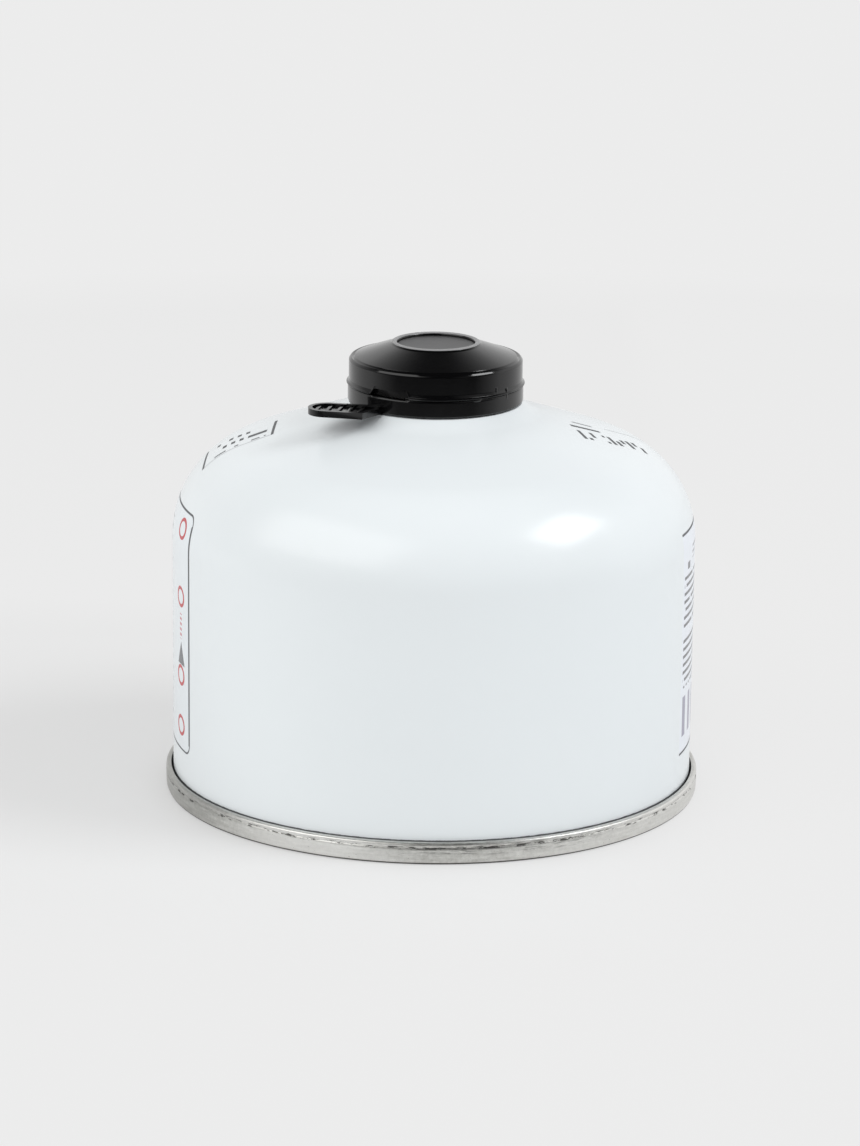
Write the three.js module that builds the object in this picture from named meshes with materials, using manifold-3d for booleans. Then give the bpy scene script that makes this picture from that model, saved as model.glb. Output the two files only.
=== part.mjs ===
// A screw-valve gas fuel canister: a drawn steel body with a double-seamed bottom end, a valve crimped
// into its neck, and a moulded snap cap with a tamper band and a pull tab.
// Millimetres, +Z up. The origin is the centre of the standing face.

import * as THREE from "three";
import { mergeVertices } from "three/addons/utils/BufferGeometryUtils.js";
import Module from "manifold-3d";

const wasm = await Module();
wasm.setup();

// Fits
const seatGap = 0.3; // between two pieces that touch on the real canister
const reach = 2; // how far a cutting shape runs past what it cuts

// Body
const bodyRadius = 53.465;
const wallTopZ = 53.25; // where the straight wall ends and the shoulder starts
const shoulderRadius = 20.35;
const domeSlope = THREE.MathUtils.degToRad(18.6);
const flareWidth = 4.35; // how far out from the cap the dome starts to sweep up to the neck
const flareRadius = 12.4;
const bodySheet = 0.65; // the body's wall inside the seam, with its hook

// Double seam and bottom end
const seamOverhang = 1.535; // how far the seam stands out from the wall
const seamHeight = 4.5;
const seamGrooveDepth = 1.3; // the gap round the wall at the top of the seam
const seamTopRound = 0.55;
const seamFootRound = 0.8;
const endSheet = 0.4;
const countersinkDepth = 5; // from the standing face up to the panel's rim
const countersinkRound = 1.1;
const panelRimWidth = 4.5;
const panelStepHeight = 0.7;
const panelStepWidth = 1.4;
const panelRise = 4.2; // how far the panel bulges up into the body

// Neck and valve cup
const neckOpeningRadius = 12.5; // a one-inch opening, rolled into a bead
const neckBeadRadius = 1.45;
const neckBeadHeight = 2.4; // from the neck's land to the centre of the bead
const neckWellDepth = 3.2; // from the neck's land down to the floor under the cup
const cupSheet = 0.4;
const cupFloorRound = 1.2;
const collarRadius = 5.556; // a 7/16 inch thread's outside
const collarHeight = 9.7; // from the cup's floor to the collar's mouth
const collarFootRadius = 7.2;
const collarFootHeight = 1.6;
const collarChamfer = 0.6;
const collarBoreRadius = 3.4;
const collarBoreDepth = 4.2;
const sealThickness = 1.4;
const sealHoleRadius = 1.3;

// Cap
const capWall = 1.2;
const capClearance = 0.35; // between the cup's rim and the inside of the cap
const bandHeight = 3.35; // the tamper band, from the cap's foot to the tear line
const tearSlit = 0.3;
const bandStep = 0.19; // the band is a little wider than the skirt, which leaves a ledge
const lipFlare = 0.47; // the skirt's foot flares out over the band
const lipHeight = 0.9;
const lipEdge = 0.05;
const capFootChamfer = 0.25;
const skirtTop = 8.15; // from the cap's foot to the start of the rounded edge
const skirtEdgeRound = 0.75;
const edgeGroove = 0.14;
const ringRadius = 9.05;
const ringHeight = 12.15; // from the cap's foot to the top ring's crest
const ringWidth = 1.2;
const ringDrop = 0.45; // how far the cone stops below the ring's crest
const topRecess = 0.7;
const snapBeadHeight = 0.5;
const snapBeadAbove = 0.3; // from the cap's foot to the snap bead
const snapBeadGap = 0.35; // between the snap bead and the neck's bead
const bridgeCount = 10;
const bridgeWidth = 1.1;
const firstBridge = THREE.MathUtils.degToRad(53.7); // from the front, towards +X
const ribProud = 0.4; // the rib that marks the first bridge
const ribHeight = 2.8;
const nubAngle = THREE.MathUtils.degToRad(43.7); // a smaller rib beside it, on the skirt alone
const nubProud = 0.3;
const nubHeight = 1.5;
const nubWidth = 0.7;
const windowFrom = THREE.MathUtils.degToRad(-46);
const windowTo = THREE.MathUtils.degToRad(-17.5);
const windowHeight = 1.35;
const windowDepth = 0.8; // a pocket that leaves the rest of the wall standing

// Pull tab, from the band towards -X
const tabRootFrom = THREE.MathUtils.degToRad(-48); // where the tab leaves the band
const tabRootTo = THREE.MathUtils.degToRad(-36.5);
const tabYaw = THREE.MathUtils.degToRad(11); // its tip points a little to the back
const tabLength = 15.1; // from the front corner of its root to its tip
const tabWidth = 7.8;
const tabOffset = 2.5; // of its middle line, to the front of that corner
const tabShoulder = 3.2; // from that corner along the tab to where its front side starts
const tabBackStart = 3.4; // and to where its back side starts
const tabPlate = 0.75;
const tabRimHeight = 1.3;
const tabRimWidth = 0.85;
const tabCutout = 0.75; // the loop at the tip, between the rim and the first rib
const tabRibPitch = 2.2;
const tabRibCount = 5;
const tabRibWidth = 0.75;
const tabRibHeight = 1.4;
const tabRibInset = 0.1;
const rootBlockProud = 1.1;

// Facets round each turned piece
const bodySegments = 64;
const capSegments = 60;
const cupSegments = 32;
const sealSegments = 24;

// Heights and radii worked out from the sizes above
const seamRadius = bodyRadius + seamOverhang;
const hookRadius = bodyRadius + seatGap; // inside of the seam's turned edge
const seamGrooveFloor = seamHeight - seamGrooveDepth;
const wallInnerRadius = bodyRadius - bodySheet;
const chuckOuterRadius = wallInnerRadius - seatGap;
const chuckInnerRadius = chuckOuterRadius - endSheet;
const panelRadius = chuckInnerRadius - panelRimWidth;
const neckBeadLine = neckOpeningRadius + neckBeadRadius;
const neckBeadOuter = neckBeadLine + neckBeadRadius;
const cupRimRadius = neckBeadOuter + seatGap + cupSheet;
const capInnerRadius = cupRimRadius + capClearance;
const capRadius = capInnerRadius + capWall;
const bandRadius = capRadius + bandStep;
const lipRadius = capRadius + lipFlare;
const flareStartRadius = capRadius + flareWidth;
const shoulderAngle = Math.PI / 2 - domeSlope;
const shoulderEndRadius = bodyRadius - shoulderRadius * (1 - Math.cos(shoulderAngle));
const shoulderEndZ = wallTopZ + shoulderRadius * Math.sin(shoulderAngle);
const flareStartZ = shoulderEndZ + (shoulderEndRadius - flareStartRadius) * Math.tan(domeSlope);
const flareEndSlope = Math.asin(Math.sin(domeSlope) + (flareStartRadius - capRadius) / flareRadius);
const neckZ = flareStartZ + flareRadius * (Math.cos(domeSlope) - Math.cos(flareEndSlope));
const neckBeadZ = neckZ + neckBeadHeight;
const wellFloorZ = neckZ - neckWellDepth;
const cupFloorZ = wellFloorZ + seatGap;
const cupInnerRadius = neckOpeningRadius - seatGap;
const collarTopZ = cupFloorZ + cupSheet + collarHeight;
const capFootZ = neckZ + seatGap;
const tearZ = capFootZ + bandHeight;
const snapBeadZ = capFootZ + snapBeadAbove;
const cupSkirtZ = snapBeadZ + 2 * snapBeadHeight + seatGap; // the cup's rim ends just over the snap bead
const skirtFootZ = tearZ + tearSlit;
const tabCorner = around(capRadius - capWall / 2, tabRootTo); // the front corner of the tab's root
const tabLean = Math.atan2(tabShoulder, tabOffset + tabWidth / 2); // of its slanting front end

// Profile points along an arc, given by its centre, radius and two angles
function arc(centreX, centreZ, radius, from, to, steps) {
  const points = [];
  for (let i = 0; i <= steps; i += 1) {
    const angle = from + ((to - from) * i) / steps;
    points.push([centreX + radius * Math.cos(angle), centreZ + radius * Math.sin(angle)]);
  }
  return points;
}

// Merges the corners that faces share and drops the slivers at the poles
function closed(geometry) {
  const bare = geometry.index ? geometry.clone() : geometry;
  bare.deleteAttribute("normal");
  bare.deleteAttribute("uv");
  const merged = mergeVertices(bare, 1e-4);
  const index = merged.index.array;
  const kept = [];
  for (let i = 0; i < index.length; i += 3) {
    const [a, b, c] = [index[i], index[i + 1], index[i + 2]];
    if (a !== b && b !== c && c !== a) kept.push(a, b, c);
  }
  merged.setIndex(kept);
  return merged;
}

// Turns a closed profile of [radius, height] points round the Z axis
function turned(profile, segments) {
  const points = profile.map(([x, z]) => new THREE.Vector2(x, z));
  const geometry = new THREE.LatheGeometry(points, segments);
  geometry.rotateX(Math.PI / 2);
  return closed(geometry);
}

// Raises a flat outline from one height to another
function raised(shape, fromZ, toZ, curveSegments = 12) {
  const geometry = new THREE.ExtrudeGeometry(shape, {
    depth: toZ - fromZ,
    bevelEnabled: false,
    curveSegments,
  });
  geometry.translate(0, 0, fromZ);
  return closed(geometry);
}

function toSolid(geometry) {
  const vertProperties = new Float32Array(geometry.attributes.position.array);
  const triVerts = new Uint32Array(geometry.index.array);
  return new wasm.Manifold(new wasm.Mesh({ numProp: 3, vertProperties, triVerts }));
}

function toGeometry(solid) {
  const mesh = solid.getMesh();
  const geometry = new THREE.BufferGeometry();
  geometry.setAttribute("position", new THREE.BufferAttribute(mesh.vertProperties, 3));
  geometry.setIndex(new THREE.BufferAttribute(mesh.triVerts, 1));
  return geometry;
}

// A point at an angle from the front, positive towards +X
function around(radius, angle) {
  return new THREE.Vector2(radius * Math.sin(angle), -radius * Math.cos(angle));
}

// A block bent round the Z axis between two radii and two angles from the front
function sector(inner, outer, from, to, fromZ, toZ) {
  const quarter = Math.PI / 2;
  const shape = new THREE.Shape();
  shape.absarc(0, 0, outer, from - quarter, to - quarter, false);
  shape.absarc(0, 0, inner, to - quarter, from - quarter, true);
  shape.closePath();
  const steps = Math.max(2, Math.ceil(((to - from) / (2 * Math.PI)) * capSegments));
  return toSolid(raised(shape, fromZ, toZ, steps));
}

// The painted body: wall, shoulder, dome and neck drawn as one, filled because it is sealed
function bodyProfile() {
  const under = endSheet + seatGap; // from the bottom end's lower face to the body's floor
  const rimZ = countersinkDepth + under;
  const stepZ = rimZ + panelStepHeight;
  const stepRadius = panelRadius - panelStepWidth;
  return [
    ...bulge(stepRadius, stepZ, panelRise, 4),
    [panelRadius, rimZ],
    [wallInnerRadius, rimZ],
    [wallInnerRadius, seamGrooveFloor + seatGap],
    [bodyRadius, seamGrooveFloor + seatGap],
    ...arc(bodyRadius - shoulderRadius, wallTopZ, shoulderRadius, 0, shoulderAngle, 10),
    ...neckFlare(),
    [neckBeadOuter, neckZ],
    ...arc(neckBeadLine, neckBeadZ, neckBeadRadius, 0, Math.PI, 5),
    [neckOpeningRadius, wellFloorZ],
    [0, wellFloorZ],
  ];
}

// A shallow spherical rise from the axis out to a rim, listed from the axis
function bulge(radius, rimZ, rise, steps) {
  const ball = (radius * radius + rise * rise) / (2 * rise);
  const spread = Math.asin(radius / ball);
  const quarter = Math.PI / 2;
  return arc(0, rimZ + rise - ball, ball, quarter, quarter - spread, steps).map(([x, z], i) => [
    i === 0 ? 0 : x,
    z,
  ]);
}

// The dome's upward sweep, from the straight cone to the neck's land
function neckFlare() {
  const centreX = flareStartRadius + flareRadius * Math.sin(domeSlope);
  const centreZ = flareStartZ + flareRadius * Math.cos(domeSlope);
  const turn = -Math.PI / 2;
  return arc(centreX, centreZ, flareRadius, turn - domeSlope, turn - flareEndSlope, 4);
}

// The bare bottom end: domed panel, countersink and the rolled double seam
function endProfile() {
  const rimZ = countersinkDepth;
  const stepRadius = panelRadius - panelStepWidth;
  const quarter = Math.PI / 2;
  const upper = bulge(stepRadius, rimZ + panelStepHeight + endSheet, panelRise, 4).reverse();
  return [
    ...bulge(stepRadius, rimZ + panelStepHeight, panelRise, 4),
    [panelRadius, rimZ],
    ...arc(chuckInnerRadius - countersinkRound, rimZ - countersinkRound, countersinkRound, quarter, 0, 2),
    ...arc(chuckInnerRadius + seamFootRound, seamFootRound, seamFootRound, 2 * quarter, 3 * quarter, 2),
    ...arc(seamRadius - seamFootRound, seamFootRound, seamFootRound, -quarter, 0, 2),
    ...arc(seamRadius - seamTopRound, seamHeight - seamTopRound, seamTopRound, 0, quarter, 3),
    [hookRadius, seamHeight - seamTopRound * 0.5],
    [hookRadius, seamGrooveFloor],
    [chuckOuterRadius, seamGrooveFloor],
    [chuckOuterRadius, rimZ + endSheet - countersinkRound],
    [chuckOuterRadius - countersinkRound, rimZ + endSheet],
    [panelRadius, rimZ + endSheet],
    ...upper,
  ];
}

// The pressed valve cup: its rim rolled over the neck's bead, and the collar that takes the thread
function cupProfile() {
  const rimInner = neckBeadRadius + seatGap;
  const rimOuter = rimInner + cupSheet;
  const cupTopOfFloor = cupFloorZ + cupSheet;
  const wallInside = cupInnerRadius - cupSheet;
  const quarter = Math.PI / 2;
  return [
    [0, cupFloorZ],
    ...arc(cupInnerRadius - cupFloorRound, cupFloorZ + cupFloorRound, cupFloorRound, -quarter, 0, 3),
    ...arc(neckBeadLine, neckBeadZ, rimInner, 2 * quarter, 0, 5),
    [neckBeadLine + rimInner, cupSkirtZ],
    [neckBeadLine + rimOuter, cupSkirtZ],
    ...arc(neckBeadLine, neckBeadZ, rimOuter, 0, 2 * quarter, 5),
    [wallInside, cupTopOfFloor + cupFloorRound],
    [wallInside - cupFloorRound, cupTopOfFloor],
    [collarFootRadius, cupTopOfFloor],
    [collarRadius, cupTopOfFloor + collarFootHeight],
    [collarRadius, collarTopZ - collarChamfer],
    [collarRadius - collarChamfer, collarTopZ],
    [collarBoreRadius, collarTopZ],
    [collarBoreRadius, collarTopZ - collarBoreDepth],
    [0, collarTopZ - collarBoreDepth],
  ];
}

// The rubber seal at the bottom of the collar's bore
function sealProfile() {
  const footZ = collarTopZ - collarBoreDepth + seatGap;
  const outer = collarBoreRadius - seatGap;
  return [
    [sealHoleRadius, footZ],
    [outer, footZ],
    [outer, footZ + sealThickness],
    [sealHoleRadius, footZ + sealThickness],
    [sealHoleRadius, footZ],
  ];
}

// The cap's wall, from its foot over the skirt, cone, top ring and recess, and back inside
function capProfile() {
  const edgeZ = capFootZ + skirtTop;
  const crestZ = capFootZ + ringHeight;
  const recessZ = crestZ - topRecess;
  const coneTopZ = crestZ - ringDrop;
  const ringRound = ringWidth / 2;
  const ringLine = ringRadius - ringRound;
  const edgeLine = capRadius - skirtEdgeRound;
  const snapInner = neckBeadOuter + snapBeadGap;
  const quarter = Math.PI / 2;
  return [
    [bandRadius - capFootChamfer, capFootZ],
    [bandRadius, capFootZ + capFootChamfer],
    [bandRadius, tearZ],
    [capRadius, tearZ],
    [capRadius, skirtFootZ],
    [lipRadius, skirtFootZ + lipEdge],
    [capRadius, skirtFootZ + lipHeight],
    ...arc(edgeLine, edgeZ, skirtEdgeRound, 0, quarter * 0.8, 4),
    [edgeLine - edgeGroove, edgeZ + skirtEdgeRound - edgeGroove],
    [edgeLine - 3 * edgeGroove, edgeZ + skirtEdgeRound + edgeGroove],
    [ringRadius, coneTopZ],
    ...arc(ringLine, crestZ - ringRound, ringRound, quarter * 0.3, quarter * 2, 4),
    [ringLine - ringRound, recessZ],
    [0, recessZ],
    [0, recessZ - capWall],
    [ringLine - ringRound, recessZ - capWall],
    [capInnerRadius - skirtEdgeRound, edgeZ + skirtEdgeRound - capWall],
    [capInnerRadius, edgeZ - capWall],
    [capInnerRadius, snapBeadZ + 2 * snapBeadHeight],
    [snapInner, snapBeadZ + snapBeadHeight],
    [snapInner, snapBeadZ],
    [capInnerRadius, capFootZ],
    [bandRadius - capFootChamfer, capFootZ],
  ];
}

// The slit between band and skirt, left standing at the bridges that the band tears at
function tearSlits() {
  const step = (2 * Math.PI) / bridgeCount;
  const half = bridgeWidth / 2 / capRadius;
  const slits = [];
  for (let i = 0; i < bridgeCount; i += 1) {
    const from = firstBridge + i * step + half;
    const to = firstBridge + (i + 1) * step - half;
    slits.push(sector(capInnerRadius - reach, lipRadius + reach, from, to, tearZ, skirtFootZ));
  }
  return slits;
}

// The rib over the first bridge, and the nub beside it
function skirtRibs() {
  const inner = capRadius - capWall / 2;
  const ribOuter = capRadius + ribProud;
  const ribHalf = bridgeWidth / 2 / capRadius;
  const ribFootZ = tearZ + tearSlit / 2 - ribHeight / 2;
  const ribTopZ = ribFootZ + ribHeight;
  const rib = sector(inner, ribOuter, firstBridge - ribHalf, firstBridge + ribHalf, ribFootZ, ribTopZ);
  const nubOuter = capRadius + nubProud;
  const nubHalf = nubWidth / 2 / capRadius;
  const nubTopZ = skirtFootZ + nubHeight;
  return rib.add(sector(inner, nubOuter, nubAngle - nubHalf, nubAngle + nubHalf, skirtFootZ, nubTopZ));
}

// The arched pocket over the tab's root, sunk into the skirt above the tear line
function tearWindow() {
  const middle = (windowFrom + windowTo) / 2;
  const halfWidth = capRadius * Math.sin((windowTo - windowFrom) / 2);
  const corner = windowHeight * 0.8;
  const shape = new THREE.Shape();
  shape.moveTo(-halfWidth, 0);
  shape.lineTo(halfWidth, 0);
  shape.lineTo(halfWidth, windowHeight - corner);
  shape.quadraticCurveTo(halfWidth, windowHeight, halfWidth - corner, windowHeight);
  shape.lineTo(-halfWidth + corner, windowHeight);
  shape.quadraticCurveTo(-halfWidth, windowHeight, -halfWidth, windowHeight - corner);
  shape.closePath();
  const geometry = new THREE.ExtrudeGeometry(shape, {
    depth: capWall + 2 * reach,
    bevelEnabled: false,
    curveSegments: 4,
  });
  const footZ = skirtFootZ - tearSlit / 2;
  geometry.rotateX(Math.PI / 2);
  geometry.translate(0, -(capInnerRadius - reach), footZ);
  geometry.rotateZ(middle);
  const floorRadius = capRadius - windowDepth;
  const sunk = sector(floorRadius, lipRadius + reach, windowFrom, windowTo, footZ, footZ + windowHeight);
  return sunk.intersect(toSolid(closed(geometry)));
}

// The tab's flat outline with its root corner at the origin and its tip along +X, narrowed by an inset
function tabOutline(inset) {
  const half = tabWidth / 2 - inset;
  const tipLine = tabLength - tabWidth / 2;
  const back = around(capRadius - capWall / 2, tabRootFrom).sub(tabCorner);
  back.rotateAround(new THREE.Vector2(), tabYaw - Math.PI);
  const shape = new THREE.Shape();
  shape.moveTo(inset * Math.cos(tabLean), -inset * Math.sin(tabLean));
  shape.lineTo(tabShoulder + (inset * (1 - Math.sin(tabLean))) / Math.cos(tabLean), tabOffset + half);
  shape.lineTo(tipLine, tabOffset + half);
  shape.absarc(tipLine, tabOffset, half, Math.PI / 2, -Math.PI / 2, true);
  shape.lineTo(tabBackStart, tabOffset - half);
  shape.lineTo(back.x, back.y);
  shape.closePath();
  return shape;
}

// The pull tab: a plate with a raised rim, ribs across it and a loop open at the tip
function pullTab() {
  const rimOuter = toSolid(raised(tabOutline(0), 0, tabRimHeight));
  const rimInner = toSolid(raised(tabOutline(tabRimWidth), -reach, tabRimHeight + reach));
  const ribEnvelope = toSolid(raised(tabOutline(tabRibInset), 0, tabRibHeight));
  const firstRib = tabLength - tabRimWidth - tabCutout;
  let tab = toSolid(raised(tabOutline(0), 0, tabPlate)).add(rimOuter.subtract(rimInner));
  for (let i = 0; i < tabRibCount; i += 1) {
    const from = firstRib - tabRibWidth - i * tabRibPitch;
    const bar = boxSolid([from, -tabWidth, 0], [from + tabRibWidth, 2 * tabWidth, tabRibHeight]);
    tab = tab.add(bar.intersect(ribEnvelope));
  }
  const mouth = boxSolid([firstRib, -tabWidth, -reach], [tabLength, 2 * tabWidth, reach]);
  const turn = 180 - THREE.MathUtils.radToDeg(tabYaw);
  tab = tab.subtract(mouth.intersect(rimInner)).rotate([0, 0, turn]);
  return tab.translate([tabCorner.x, tabCorner.y, capFootZ]);
}

function boxSolid(low, high) {
  const size = high.map((value, i) => value - low[i]);
  const geometry = new THREE.BoxGeometry(...size);
  geometry.translate(...low.map((value, i) => value + size[i] / 2));
  return toSolid(closed(geometry));
}

function capGeometry() {
  const root = sector(
    capRadius - capWall / 2,
    capRadius + rootBlockProud,
    tabRootFrom,
    tabRootTo,
    capFootZ,
    capFootZ + tabRimHeight,
  );
  let cap = toSolid(turned(capProfile(), capSegments)).add(skirtRibs());
  for (const slit of tearSlits()) cap = cap.subtract(slit);
  return toGeometry(cap.subtract(tearWindow()).add(root).add(pullTab()));
}

function piece(name, geometry, colour, roughness, metalness) {
  const material = new THREE.MeshStandardMaterial({ color: colour, roughness, metalness });
  const mesh = new THREE.Mesh(geometry, material);
  mesh.name = name;
  return mesh;
}

const canister = new THREE.Group();
canister.add(
  piece("can_body", turned(bodyProfile(), bodySegments), 0xe6ebef, 0.25, 0),
  piece("bottom_end", turned(endProfile(), bodySegments), 0xa9a8a4, 0.38, 1),
  piece("valve_cup", turned(cupProfile(), cupSegments), 0xb4b3ae, 0.3, 1),
  piece("valve_seal", turned(sealProfile(), sealSegments), 0x1c1c1d, 0.7, 0),
  piece("cap", capGeometry(), 0x131316, 0.28, 0),
);

export default canister;
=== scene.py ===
"""A screw-valve gas fuel canister with a snap cap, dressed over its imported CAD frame.

Sizes are in millimetres and become metres where a mesh is built. The can stands on z = 0 with its front
towards -Y, and angles are counted from the front towards +X.
"""

import math

import bmesh
import bpy
from mathutils import Matrix, Quaternion, Vector, noise


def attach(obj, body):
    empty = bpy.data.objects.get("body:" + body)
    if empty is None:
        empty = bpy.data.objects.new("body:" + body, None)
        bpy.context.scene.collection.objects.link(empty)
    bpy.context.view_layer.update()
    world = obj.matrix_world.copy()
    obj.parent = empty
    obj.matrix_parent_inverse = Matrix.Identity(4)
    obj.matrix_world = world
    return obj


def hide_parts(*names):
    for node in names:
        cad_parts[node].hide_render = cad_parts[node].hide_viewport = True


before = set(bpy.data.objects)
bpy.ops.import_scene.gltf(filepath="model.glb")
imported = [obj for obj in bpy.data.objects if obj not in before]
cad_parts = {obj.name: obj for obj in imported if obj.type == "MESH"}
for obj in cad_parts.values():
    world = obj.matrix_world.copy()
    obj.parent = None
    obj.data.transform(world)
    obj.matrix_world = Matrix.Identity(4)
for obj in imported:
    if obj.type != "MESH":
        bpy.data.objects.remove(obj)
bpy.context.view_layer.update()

MM = 0.001
QUARTER = math.pi / 2

# Body, as drawn in the CAD
SEAT_GAP = 0.3
BODY_RADIUS = 53.465
WALL_TOP = 53.25
SHOULDER_RADIUS = 20.35
DOME_SLOPE = math.radians(18.6)
FLARE_START = 22.0
FLARE_RADIUS = 12.4
BODY_SHEET = 0.65
CAP_RADIUS = 17.65

# Double seam and bottom end
SEAM_RADIUS = 55.0
SEAM_HEIGHT = 4.5
SEAM_GROOVE_FLOOR = 3.2
SEAM_TOP_ROUND = 0.55
SEAM_FOOT_ROUND = 0.8
SEAM_CREASE_DROP = 1.05  # from the seam's top down to the crease that the rolling leaves
SEAM_CREASE_DEPTH = 0.14
SEAM_FOOT_TAPER = 0.05
SEAM_FULL_Z = 2.0  # above this the seam has its full radius
SEAM_WAVE = 0.035  # how far the rolling leaves the seam out of round
SEAM_RIPPLE = 0.018
END_SHEET = 0.4
COUNTERSINK_DEPTH = 5.0
COUNTERSINK_ROUND = 1.1
PANEL_RIM_WIDTH = 4.5
PANEL_STEP_HEIGHT = 0.7
PANEL_STEP_WIDTH = 1.4
PANEL_RISE = 4.2

# Neck, valve cup and collar
NECK_OPENING = 12.5
NECK_BEAD = 1.45
NECK_BEAD_HEIGHT = 2.4
NECK_WELL_DEPTH = 3.2
CUP_SHEET = 0.4
CUP_FLOOR_ROUND = 1.2
COLLAR_RADIUS = 5.556
COLLAR_HEIGHT = 9.7
COLLAR_FOOT_RADIUS = 7.2
COLLAR_FOOT_HEIGHT = 1.6
COLLAR_CHAMFER = 0.6
COLLAR_BORE = 3.4
COLLAR_BORE_DEPTH = 4.2
THREAD_PITCH = 25.4 / 28  # 28 turns to the inch
THREAD_DEPTH = 0.5

# Snap cap
CAP_WALL = 1.2
BAND_HEIGHT = 3.35
TEAR_SLIT = 0.3
BAND_STEP = 0.19
LIP_FLARE = 0.47
SLIT_CLOSING = 0.07  # the moulded slit is finer than the CAD's
# The skirt's foot flares out in a hollow lip: distances outwards and up
LIP = ((0.45, -0.04), (0.47, 0.04), (0.44, 0.13), (0.40, 0.16), (0.19, 0.30), (0.15, 0.33), (0.12, 0.37),
       (0.11, 0.42), (0.03, 0.78), (0.01, 0.86), (0.0, 0.92))
CAP_FOOT_CHAMFER = 0.25
SKIRT_TOP = 8.15
SKIRT_EDGE_ROUND = 0.75
EDGE_GROOVE = 0.14
EDGE_FLAT_FROM = math.radians(19)  # the rounded edge has a flat run between these two turns
EDGE_FLAT_TO = math.radians(50)
RING_RADIUS = 9.05
RING_HEIGHT = 12.13
RING_WIDTH = 1.2
RING_DROP = 0.45
TOP_RECESS = 0.7
SNAP_BEAD_HEIGHT = 0.5
SNAP_BEAD_ABOVE = 0.3
SNAP_BEAD_GAP = 0.35
BRIDGE_COUNT = 10
BRIDGE_WIDTH = 1.1
BRIDGE_EDGE_ROUND = 0.08
FIRST_BRIDGE = math.radians(53.7)
RIB_PROUD = 0.24  # softer than the CAD's
RIB_HEIGHT = 2.8
NUB_ANGLE = math.radians(43.7)
NUB_PROUD = 0.1
NUB_HEIGHT = 1.5
NUB_WIDTH = 0.7
LUG_ANGLE = math.radians(28)
LUG_WIDTH = 2.8
LUG_PROUD = 0.36
# The band's bevelled top edge under the window: distances back and down
LEDGE = ((0.0, 0.3), (0.02, 0.26), (0.18, 0.03), (0.22, 0.0))
LEDGE_ELSEWHERE = 0.2  # share of the bevel that is left away from the window
WINDOW_FROM = math.radians(-46)
WINDOW_TO = math.radians(-17.5)
WINDOW_HEIGHT = 1.35
WINDOW_DEPTH = 0.8
WINDOW_CORNER = 1.05
WINDOW_REACH = 2.6  # how far up the skirt its lower rings give way to the window
WINDOW_RINGS = 10

# Pull tab, from the band towards -X
TAB_ROOT_FROM = math.radians(-48)
TAB_ROOT_TO = math.radians(-36.5)
TAB_YAW = math.radians(11)
TAB_LENGTH = 15.1
TAB_WIDTH = 7.8
TAB_OFFSET = 2.5
TAB_SHOULDER = 3.2
TAB_BACK_START = 3.4
TAB_PLATE = 0.75
TAB_RIM_HEIGHT = 1.3
TAB_RIM_WIDTH = 0.85
TAB_CUTOUT = 0.75
TAB_RIB_PITCH = 2.2
TAB_RIB_COUNT = 5
TAB_RIB_WIDTH = 0.75
TAB_RIB_HEIGHT = 1.08  # lower than the CAD's, inside the rim
TAB_RIB_INSET = 0.1
TAB_EDGE_ROUND = 0.24
TAB_RIB_ROUND = 0.35
ROOT_BLOCK_PROUD = 1.1

# Heights and radii worked out from the sizes above
WALL_INNER = BODY_RADIUS - BODY_SHEET
HOOK_RADIUS = BODY_RADIUS + SEAT_GAP
CHUCK_OUTER = WALL_INNER - SEAT_GAP
CHUCK_INNER = CHUCK_OUTER - END_SHEET
PANEL_RADIUS = CHUCK_INNER - PANEL_RIM_WIDTH
SHOULDER_ANGLE = QUARTER - DOME_SLOPE
SHOULDER_END = BODY_RADIUS - SHOULDER_RADIUS * (1 - math.cos(SHOULDER_ANGLE))
SHOULDER_END_Z = WALL_TOP + SHOULDER_RADIUS * math.sin(SHOULDER_ANGLE)
FLARE_START_Z = SHOULDER_END_Z + (SHOULDER_END - FLARE_START) * math.tan(DOME_SLOPE)
FLARE_END_SLOPE = math.asin(math.sin(DOME_SLOPE) + (FLARE_START - CAP_RADIUS) / FLARE_RADIUS)
NECK_Z = FLARE_START_Z + FLARE_RADIUS * (math.cos(DOME_SLOPE) - math.cos(FLARE_END_SLOPE))
NECK_BEAD_LINE = NECK_OPENING + NECK_BEAD
NECK_BEAD_OUTER = NECK_BEAD_LINE + NECK_BEAD
NECK_BEAD_Z = NECK_Z + NECK_BEAD_HEIGHT
WELL_FLOOR = NECK_Z - NECK_WELL_DEPTH
CUP_FLOOR = WELL_FLOOR + SEAT_GAP
CUP_INNER = NECK_OPENING - SEAT_GAP
COLLAR_TOP = CUP_FLOOR + CUP_SHEET + COLLAR_HEIGHT
THREAD_LOW = CUP_FLOOR + CUP_SHEET + COLLAR_FOOT_HEIGHT
CAP_FOOT = NECK_Z + SEAT_GAP
CAP_INNER = CAP_RADIUS - CAP_WALL
TEAR_Z = CAP_FOOT + BAND_HEIGHT
SKIRT_FOOT = TEAR_Z + TEAR_SLIT
SNAP_BEAD_Z = CAP_FOOT + SNAP_BEAD_ABOVE
CUP_SKIRT_Z = SNAP_BEAD_Z + 2 * SNAP_BEAD_HEIGHT + SEAT_GAP
CREST_Z = CAP_FOOT + RING_HEIGHT
RECESS_Z = CREST_Z - TOP_RECESS
EDGE_Z = CAP_FOOT + SKIRT_TOP
BAND_RADIUS = CAP_RADIUS + BAND_STEP
POCKET_RADIUS = CAP_RADIUS - WINDOW_DEPTH
TAB_FIRST_RIB = TAB_LENGTH - TAB_RIM_WIDTH - TAB_CUTOUT

SHARP = math.radians(32)
BODY_SEGMENTS = 288
CAP_SEGMENTS = 360
CUP_SEGMENTS = 144
DISC_SEGMENTS = 192
THREAD_STEPS = 110


# Meshes


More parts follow.
